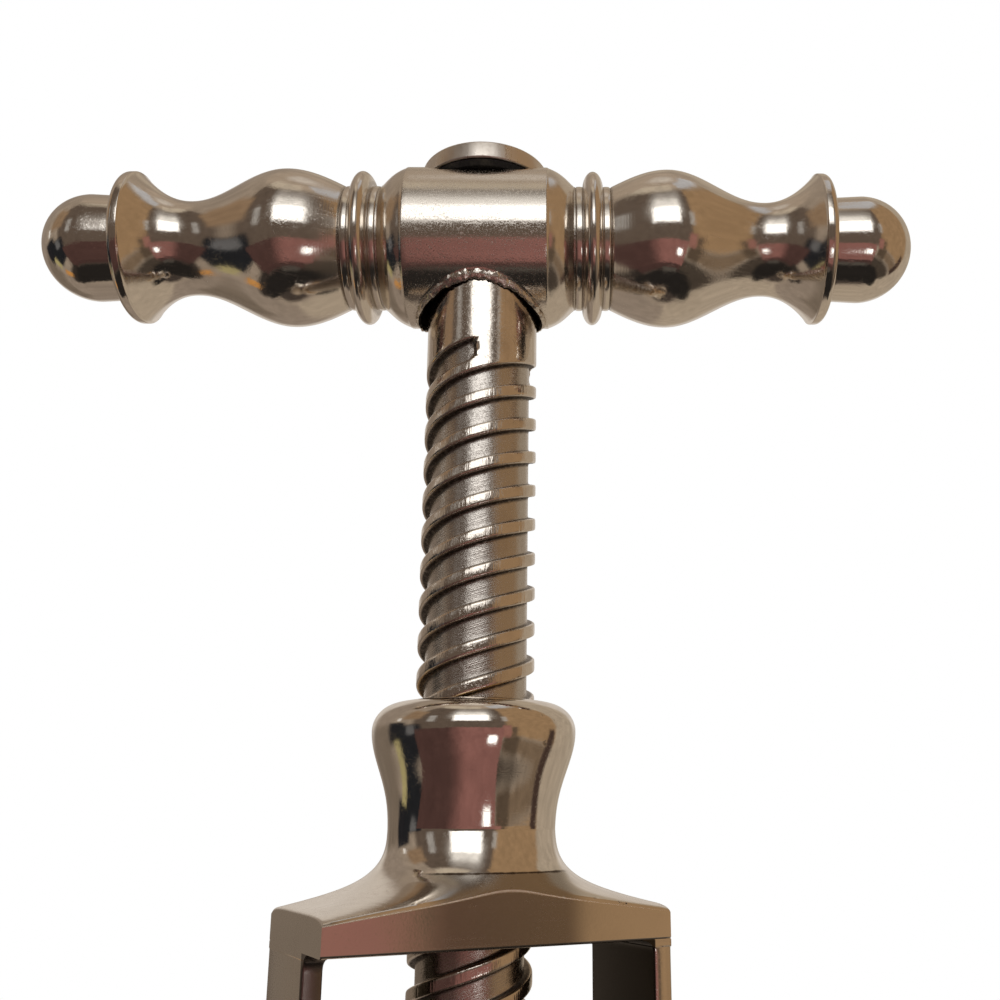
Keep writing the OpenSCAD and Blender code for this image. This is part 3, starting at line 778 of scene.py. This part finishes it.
corner = atan2(head["depth"], head["width"])
quarter = [corner * t for t in shares(head["columnsEnd"])[:-1]]
quarter += [corner + (pi / 2 - corner) * t for t in shares(head["columnsFront"])[:-1]]
half = quarter + [pi / 2] + [pi - a for a in reversed(quarter[1:])]
columns = half + [a + pi for a in half]
topZ = collarTop - head["topDrop"]
swellHeight = topZ - neckZ - head["shoulder"]
collarRows = []  # half width, half depth and height of each row above the neck
for t in shares(32, 1):
    r = head["neck"] + (head["collar"] - head["neck"]) * (1 - cos(pi * t ** 1.25)) / 2
    collarRows.append((r, r - (head["neck"] - head["neckFront"]) * (1 - t) ** 2, neckZ + swellHeight * t))
for t in shares(20, 1):
    a = pi / 2 * t
    r = head["collarTop"] + (head["collar"] - head["collarTop"]) * cos(a)
    collarRows.append((r, r, topZ - head["shoulder"] * (1 - sin(a))))
seatZ = barBottom + head["seatThick"]
for r, z in ((head["bore"], topZ), (head["bore"], seatZ), (head["seat"], seatZ), (head["seat"], barBottom)):
    collarRows.append((r, r, z))
# the rows are spun as a plain tube first, then each ring is drawn out to its own shape
bm = bmesh.new()
rowCount = head["rows"] + 2 + len(collarRows)
spinLine(bm, [(10 * mm, 0, (i + 1) * mm) for i in range(rowCount)], len(columns), use_merge=True)
bmesh.ops.remove_doubles(bm, verts=bm.verts, dist=1e-6)
rowOf = {}
for vert in bm.verts:
    row = round(vert.co.z / mm) - 1
    turn = atan2(vert.co.y, vert.co.x) % (2 * pi)
    column = round(turn / (2 * pi) * len(columns)) % len(columns)
    rowOf[vert] = row
    direction = (cos(columns[column]), sin(columns[column]))
    if row == 0:
        r, z = barReach(direction), barBottom
    elif row <= head["rows"] + 1:
        u = flareDepthAtBar(direction) * (1 - (row - 1) / head["rows"])
        r, z = min(flareReach(u, direction), barReach(direction)), neckZ - u
    else:
        a, b, z = collarRows[row - head["rows"] - 2]
        r = ovalReach(a, b, direction)
    vert.co = (r * direction[0] * mm, r * direction[1] * mm, z * mm)
rounded = []
for edge in bm.edges:
    rows = sorted(rowOf[v] for v in edge.verts)
    longSide = min(abs(v.co.y) for v in edge.verts) > (head["depth"] / 2 - 0.01) * mm
    if rows == [1, 1] or (rows == [0, 0] and longSide):
        rounded.append(edge)
bmesh.ops.bridge_loops(bm, edges=[e for e in bm.edges if e.is_boundary])
roundEdges(bm, rounded, head["edge"])
headPiece = makeObject(bm, "frame_head_casting", 42)
sidesOfEdge = {}
for polygon in headPiece.data.polygons:
    for key in polygon.edge_keys:
        sidesOfEdge.setdefault(key, set()).add(abs(polygon.normal.y) > 0.9995)
for edge in headPiece.data.edges:
    if len(sidesOfEdge[edge.key]) == 2:
        edge.use_edge_sharp = True  # the front and the back of the bar stay flat
dress(headPiece, "frame", "frame_head", headMaterial())

# legs: flat straps, flush with the bar on one edge and swept out to it on the other
leg = {
    "width": 12.6, "thick": 1.9, "outer": 17.05, "flush": 9.15, "sweep": 1.7, "windowRadius": 1.2,
    "edge": 0.25, "intoBar": 0.4, "outerInset": 0.04, "flushInset": 0.3,
    # the inner faces' colour here is painted shade; the other makes the left leg's narrow front face darker
    # and duller
    "innerShade": (0.03, 0.026, 0.02), "darkerFrontFace": (0.24, 0.21, 0.19),
}


def legMaterial():
    # strokes on the outer faces, painted shade on the inner faces, and a darker, duller narrow face at the
    # left leg's front
    metal = startNickel("legNickel", scratches=0.6, roughness=0.08)
    x, y, z = axesOf(metal.coords)
    addBrush(metal, (2600, 2600, 60), 0.0, rough=0.22, depth=0.000004, zone=abs(x).mmRamp(16.9, 17.0))
    # painted shade: the legs' inner faces are painted near-black
    paintOver(metal, abs(x).mmRamp(15.32, 15.18) * 0.97, leg["innerShade"], rough=0.2)
    # the left leg's narrow front face is painted darker and duller
    paintOver(metal, y.mmRamp(-3.0, -3.15) * x.mmRamp(-5.0, -6.0), leg["darkerFrontFace"], rough=0.2)
    return finishSurface(metal)


def legLevels(low, high):
    # heights, with the width of the leg at each
    sweep = leg["sweep"]
    ends = []
    for t in shares(12):
        a = pi / 2 * t
        ends.append((sweep * (1 - cos(a)), leg["width"] + sweep * (1 - sin(a))))
    middle = [(low + sweep + (high - low - 2 * sweep) * t, leg["width"]) for t in shares(10, 1)[:-1]]
    levels = [(low + d, w) for d, w in ends] + middle + [(high - d, w) for d, w in reversed(ends)]
    return [(low - leg["intoBar"], ends[0][1])] + levels + [(high + leg["intoBar"], ends[0][1])]


def legInner(low, high, z):
    # the inner face curves in under the bar and over the ring
    r = leg["windowRadius"]
    inner = leg["outer"] - leg["thick"]
    d = min(z - low, high - z)
    return inner if d >= r else inner - r + sqrt(max(0.0, r * r - (r - d) ** 2))


legNickel = legMaterial()
for side, name in bothSides:
    low, high = ringTop, barBottom
    bm = bmesh.new()
    square = ((1, -1), (1, 1), (-1, 1), (-1, -1))
    face = bm.faces.new([bm.verts.new((side * x, side * y, 0)) for x, y in square])
    corners = {vert: (vert.co.x * side > 0, vert.co.y * side < 0) for vert in face.verts}
    for k, (z, w) in enumerate(legLevels(low, high)):
        if k:
            grown = bmesh.ops.extrude_face_region(bm, geom=[face])["geom"]
            bmesh.ops.delete(bm, geom=[face], context="FACES_ONLY")
            face = [g for g in grown if isinstance(g, bmesh.types.BMFace)][0]
            corners = {vert: corners[grownFrom(vert, corners)] for vert in face.verts}
        for vert, (outside, flush) in corners.items():
            hidden = 0.0 if low <= z <= high else 1.0
            x = leg["outer"] - leg["outerInset"] * hidden if outside else legInner(low, high, z)
            inset = leg["flushInset"] * hidden
            y = inset - leg["flush"] if flush else w - leg["flush"] - inset
            vert.co = (side * x * mm, side * y * mm, z * mm)
    closeEnds(bm)
    longEdges = []
    for edge in bm.edges:
        heights = sorted(v.co.z / mm for v in edge.verts)
        if heights[1] - heights[0] > 0.001 and heights[0] > low + 0.5 and heights[1] < high - 0.5:
            longEdges.append(edge)
    roundEdges(bm, longEdges, leg["edge"])
    dress(makeObject(bm, name + "_strap_leg", 42), "frame", name + "_leg", legNickel)

# bottle ring
ring = {
    "outer": 20.35, "cove": 1.6, "edge": 1.0, "bore": 15.25, "boreHeight": 10.0, "lead": 0.6, "plate": 3.0,
    "hole": 11.0, "holeEdge": 0.4, "holeChamfer": 0.3, "footShare": 0.3,
}
foot = ring["outer"] - ring["cove"]
ringOutline = [(ring["bore"] + ring["lead"], 0)]
ringOutline += arcPoints((foot - ring["edge"], ring["edge"]), ring["edge"], -90, 0, 10)
for t in shares(24):
    rise = (ringTop * (1 - ring["footShare"]) - ring["plate"]) * t
    ringOutline.append((foot + ring["cove"] * t ** 3, ringTop * ring["footShare"] + rise))
ringOutline += arcPoints((ring["outer"] - ring["edge"], ringTop - ring["edge"]), ring["edge"], 0, 90, 10)
holeEdge = ring["holeEdge"]
ringOutline += arcPoints((ring["hole"] + holeEdge, ringTop - holeEdge), holeEdge, 90, 180, 5)
ringOutline += [(ring["hole"], ring["boreHeight"] + ring["holeChamfer"]),
                (ring["hole"] + ring["holeChamfer"], ring["boreHeight"]),
                (ring["bore"], ring["boreHeight"]), (ring["bore"], ring["lead"])]
dress(makeObject(turnedShape(ringOutline, steps=224, closed=True), "bottle_ring_turning", 42), "frame",
      "bottle_ring", finishSurface(startNickel("ringNickel", scratches=0.6)))

# worm: a round wire drawn down a helix, one step at a time
worm = {
    "wire": 1.6, "middle": 3.2, "taper": 13.0, "tipGap": 0.6, "tipShare": 0.06, "sides": 20,
    "stepsPerTurn": 44, "shank": 2.3, "shankLength": 6.9, "shankFoot": 1.62, "overlap": 0.01,
}
wormLength = screwEnd - ringTop - worm["tipGap"]


def wormMiddle(s):
    turn = s * wormLength / lead
    t = min(1.0, max(0.0, turn / 0.5))
    r = worm["middle"] * t * t * (3 - 2 * t)
    a = -2 * pi * turn
    return Vector((r * cos(a), r * sin(a), screwEnd - s * wormLength)), a


def wormRing(s):
    middle, a = wormMiddle(s)
    ahead = (wormMiddle(s + 0.002)[0] - wormMiddle(max(0, s - 0.002))[0]).normalized()
    if s == 0:
        ahead = Vector((0, 0, -1))
    u = ahead.cross(Vector((sin(a), -cos(a), 0))).normalized()
    left = max(0.0, (1 - s) * wormLength) / worm["taper"]
    r = worm["wire"] * (1 if left >= 1 else worm["tipShare"] + (1 - worm["tipShare"]) * sqrt(left))
    return middle, u, ahead.cross(u), r


bm = bmesh.new()
circle = bmesh.ops.create_circle(bm, cap_ends=False, segments=worm["sides"], radius=worm["wire"] * mm)
ringVerts = sorted(circle["verts"], key=lambda v: atan2(v.co.y, v.co.x) % (2 * pi))
steps = int(wormLength / lead * worm["stepsPerTurn"])
for k in range(steps + 1):
    if k:
        order = {v: i for i, v in enumerate(ringVerts)}
        loop = {e for v in ringVerts for e in v.link_edges if all(end in order for end in e.verts)}
        grown = bmesh.ops.extrude_edge_only(bm, edges=list(loop))["geom"]
        following = [None] * len(ringVerts)
        for v in [g for g in grown if isinstance(g, bmesh.types.BMVert)]:
            following[order[grownFrom(v, order)]] = v
        ringVerts = following
    middle, u, across, r = wormRing(k / steps)
    for i, vert in enumerate(ringVerts):
        a = 2 * pi * i / worm["sides"]
        vert.co = (middle + r * (cos(a) * u + sin(a) * across)) * mm
closeEnds(bm)
shankLow, shankTop = screwEnd - worm["overlap"], screwEnd + worm["shankLength"]
joinShape(bm, turnedShape([(0, shankLow), (worm["shankFoot"], shankLow), (worm["shank"], screwEnd + 0.4),
                           (worm["shank"], shankTop), (0, shankTop)], steps=64))
dress(makeObject(bm, "worm_wire", 50), "spindle", "worm", wormSteel)

# cross pin with domed ends
pin = {"radius": 1.0, "half": 5.0, "dome": 0.3, "overEnd": 4.0}
pinOutline = []
for t in shares(6):
    a = pi / 2 * t
    pinOutline.append((pin["radius"] * sin(a), pin["dome"] * (1 - cos(a)) - pin["half"]))
pinOutline += [(r, -z) for r, z in reversed(pinOutline)]
bm = turnedShape(pinOutline, steps=48)
place = Matrix.Translation((0, 0, (screwEnd + pin["overEnd"]) * mm)) @ Matrix.Rotation(pi / 2, 4, "X")
bmesh.ops.transform(bm, matrix=place, verts=bm.verts)
dress(makeObject(bm, "worm_cross_pin", 50), "spindle", "worm_pin", wormSteel)

# solids that stay as they are
for node, material in (("handle_rod", rodSteel), ("thread_nut", nutBronze)):
    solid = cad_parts[node]
    solid.data.materials.clear()
    solid.data.materials.append(material)
print("pieces ready")

# camera
cameraPlace = Vector((-43.12, -103.69, 93.35)) * mm
heading, pitchUp, roll = radians(28.082), radians(15.024), radians(-0.263)
lens = {
    "lens": 39.364, "sensor_width": 36.0, "sensor_fit": "HORIZONTAL", "shift_x": -0.0802, "shift_y": 0.0350,
    "clip_start": 0.005,
}
camera = bpy.data.objects.new("camera", bpy.data.cameras.new("camera"))
ahead = Vector((sin(heading) * cos(pitchUp), cos(heading) * cos(pitchUp), sin(pitchUp)))
level = Vector((cos(heading), -sin(heading), 0))
right = cos(roll) * level + sin(roll) * level.cross(ahead)
pose = Matrix((right, right.cross(ahead), -ahead)).transposed().to_4x4()
pose.translation = cameraPlace
camera.matrix_world = pose
setAll(camera.data, lens)
scene.collection.objects.link(camera)
scene.camera = camera

# studio: floor, one soft lamp, and a room of soft colours that only the metal reflects
studio = {
    "middle": (0, 0, 0.125), "floorRadius": 0.42, "floorColour": (0.86, 0.86, 0.85), "floorRoughness": 0.7,
    "floorDrop": 0.00005, "keyDistance": 0.62, "keyAzimuth": 12.0, "keyElevation": 32.0, "worldFill": 0.75,
    "domeRadius": 1.0, "domeColour": (0.33, 0.27, 0.215), "domeWobble": 5.0, "domeMottle": 0.16,
}
lampLook = {"shape": "RECTANGLE", "size": 0.34, "size_y": 0.20, "energy": 5.0, "color": (1.0, 0.985, 0.96)}
# azimuth (0 is towards the camera, + is its right) and half width, lowest, highest, softness, colour
domePatches = [
    (0, 180, 66, 95, 10, (0.40, 0.325, 0.255)),  # ceiling
    (0, 180, 82, 95, 8, (0.58, 0.52, 0.46)),
    (-28, 40, 62, 75, 6, (0.52, 0.45, 0.36)),
    (72, 40, 66, 78, 5, (0.50, 0.50, 0.52)),
    (145, 46, -64, 62, 10, (0.43, 0.36, 0.28)),  # behind, right
    (-145, 40, -62, 50, 10, (0.30, 0.245, 0.20)),  # behind, left
    (-132, 24, -26, 6, 10, (0.20, 0.16, 0.125)),
    (180, 34, 2, 42, 12, (0.64, 0.58, 0.52)),
    (-10, 62, -14, 62, 9, (0.12, 0.091, 0.072)),  # dim front
    (68, 34, -16, 63, 7, (0.33, 0.215, 0.12)),  # amber at the right
    (-78, 13, 20, 46, 8, (0.28, 0.19, 0.12)),
    (-4, 25, 22, 60, 18, (0.38, 0.355, 0.33)),  # glow over the window
    (-4, 20, 28, 48, 12, (0.95, 0.93, 0.90)),
    (-4, 20, 13, 36, 6, (1.9, 1.9, 1.9)),  # window
    (-50, 4.5, 11, 32, 5, (0.36, 0.345, 0.33)),
    (34, 3, 12, 29, 5, (0.42, 0.39, 0.36)),
    (60, 40, -62, -35, 9, (0.065, 0.051, 0.04)),  # shade at the lower right
    (66, 27, -32, -18, 7, (0.19, 0.135, 0.09)),
    (43, 10, -34, -16, 7, (0.10, 0.072, 0.05)),
    (45, 4, -17, -2, 6, (0.13, 0.09, 0.06)),
    (36, 5.5, -18, 1, 4, (0.29, 0.14, 0.115)),
    (96, 5, -31, -1, 5, (0.06, 0.038, 0.03)),
    (-20, 48, -56, -36, 8, (0.07, 0.038, 0.034)),
    (-92, 30, -64, -44, 8, (0.035, 0.028, 0.024)),  # shade at the lower left
    (0, 128, -95, -54, 7, (0.02, 0.0175, 0.016)),  # dark table edge
    (180, 54, -95, -69, 8, (0.06, 0.047, 0.04)),
    (3, 19, -59, -52, 4, (0.09, 0.08, 0.07)),
    (-96, 13, -13, 11, 6, (0.018, 0.018, 0.021)),  # dark at the left
    (-77, 16, -30, 4, 6, (0.017, 0.018, 0.021)),
    (-75, 5, -9, 3, 4, (0.13, 0.13, 0.135)),
    (-97, 4.5, -27, -11, 3, (0.40, 0.35, 0.17)),
    (-101, 5.5, -46, -33, 4, (0.55, 0.27, 0.08)),
    (-95, 2.5, 14.5, 22, 3, (0.85, 0.83, 0.80)),
]
# rosy cloth that hangs nearer than the rest, with a lamp on it
cloth = {
    "radius": 0.29, "fromDeg": -68, "toDeg": 32, "bottom": -0.275, "top": -0.036,
    "colour": (0.26, 0.122, 0.108),
}
clothPatches = [
    (-54, 34, -60, 10, 26, (0.08, 0.043, 0.038)),
    (20.5, 5.0, -29, -19.5, 3.5, (1.9, 1.9, 1.9)),
]
target = Vector(studio["middle"])
cameraAngle = atan2(cameraPlace.y, cameraPlace.x)

patchLabels = ("Azimuth", "Elevation", "Middle", "Half", "Low", "High", "Soft")
patchGroup, sink, azimuth, elevation, middle, half, low, high, soft = newGroup(
    "domePatch", dict.fromkeys(patchLabels, 0.0), ["Mask"])
away = abs((azimuth - middle).run("WRAP", 180.0, -180.0))
sides = [(margin / soft).ramp(-0.5, 0.5) for margin in (half - away, elevation - low, high - elevation)]
plug(sides[0] * sides[1] * sides[2], sink["Mask"])


def roomMaterial(name, colour, patches):
    room = newSurface(name, metallic=0.0)
    room.tree.nodes.remove(room.shader)
    facing = room.coords.run("NORMALIZE", kind="ShaderNodeVectorMath")
    x, y, z = axesOf(facing)
    wobble = output(room.tree, "ShaderNodeTexNoise", "Color", Vector=facing, Scale=5.0, Detail=3.0)
    drift = [(axis - 0.5) * studio["domeWobble"] for axis in axesOf(wobble)[:2]]
    azimuth = y.run("ARCTAN2", x).run("DEGREES") + drift[0]
    elevation = z.run("ARCSINE").run("DEGREES") + drift[1]
    for *values, paint in patches:
        places = dict(zip(patchLabels, (azimuth, elevation, *values)))
        colour = mixColour(placeGroup(room, patchGroup, **places)["Mask"], colour, paint)
    mottle = noiseOf(facing, 9.0, 4.0, 0.6).ramp(0.2, 0.8, 1 - studio["domeMottle"], 1 + studio["domeMottle"])
    glow = output(room.tree, "ShaderNodeEmission", Color=colour, Strength=mottle)
    plug(glow, room.tree.nodes["Material Output"].inputs["Surface"])
    return room.material


def hangRoom(bm, name, material):
    # only the metal's reflections see it
    obj = makeObject(bm, name)
    obj.location = target
    obj.rotation_euler = (0, 0, cameraAngle)
    obj.data.materials.append(material)
    hidden = ("visible_camera", "visible_diffuse", "visible_shadow", "visible_transmission")
    setAll(obj, dict.fromkeys(hidden, False))


bm = bmesh.new()
bmesh.ops.create_icosphere(bm, subdivisions=5, radius=studio["domeRadius"])
hangRoom(bm, "reflection_dome", roomMaterial("domeColours", studio["domeColour"], domePatches))
bm = bmesh.new()
turn = radians(cloth["fromDeg"])
first = Vector((cos(turn), sin(turn), 0)) * cloth["radius"]
spinLine(bm, [first + Vector((0, 0, cloth[key])) for key in ("bottom", "top")], 40,
         angle=radians(cloth["toDeg"] - cloth["fromDeg"]))
hangRoom(bm, "reflection_cloth", roomMaterial("clothColours", cloth["colour"], clothPatches))

bm = bmesh.new()
bmesh.ops.create_circle(bm, cap_ends=True, segments=96, radius=studio["floorRadius"])
floor = makeObject(bm, "floor")
paleFloor = newSurface("paleFloor", metallic=0.0)
plug(studio["floorColour"], paleFloor.shader.inputs["Base Color"])
plug(studio["floorRoughness"], paleFloor.shader.inputs["Roughness"])
floor.data.materials.append(paleFloor.material)
floor.location.z = -studio["floorDrop"]
floor.visible_glossy = False

lamp = bpy.data.lights.new("windowLamp", "AREA")
setAll(lamp, lampLook)
key = bpy.data.objects.new("windowLamp", lamp)
keyAngle, keyRise = cameraAngle + radians(studio["keyAzimuth"]), radians(studio["keyElevation"])
towards = Vector((cos(keyAngle) * cos(keyRise), sin(keyAngle) * cos(keyRise), sin(keyRise)))
key.location = target + studio["keyDistance"] * towards
key.rotation_mode = "QUATERNION"
key.rotation_quaternion = towards.to_track_quat("Z", "Y")
key.visible_glossy = False
scene.collection.objects.link(key)

world = bpy.data.worlds.new("studioWorld")
world.use_nodes = True
scene.world = world
paths = addNode(world.node_tree, "ShaderNodeLightPath").outputs
seen = Signal(paths["Is Camera Ray"])
for label in ("Is Glossy Ray", "Is Transmission Ray"):
    seen = seen.run("MAXIMUM", Signal(paths[label]))
sky = world.node_tree.nodes["Background"].inputs
plug((1, 1, 1), sky["Color"])
plug(seen.ramp(0.0, 1.0, studio["worldFill"], 1.0), sky["Strength"])
scene.view_settings.view_transform = "Standard"
print("stage ready")

bpy.context.view_layer.update()
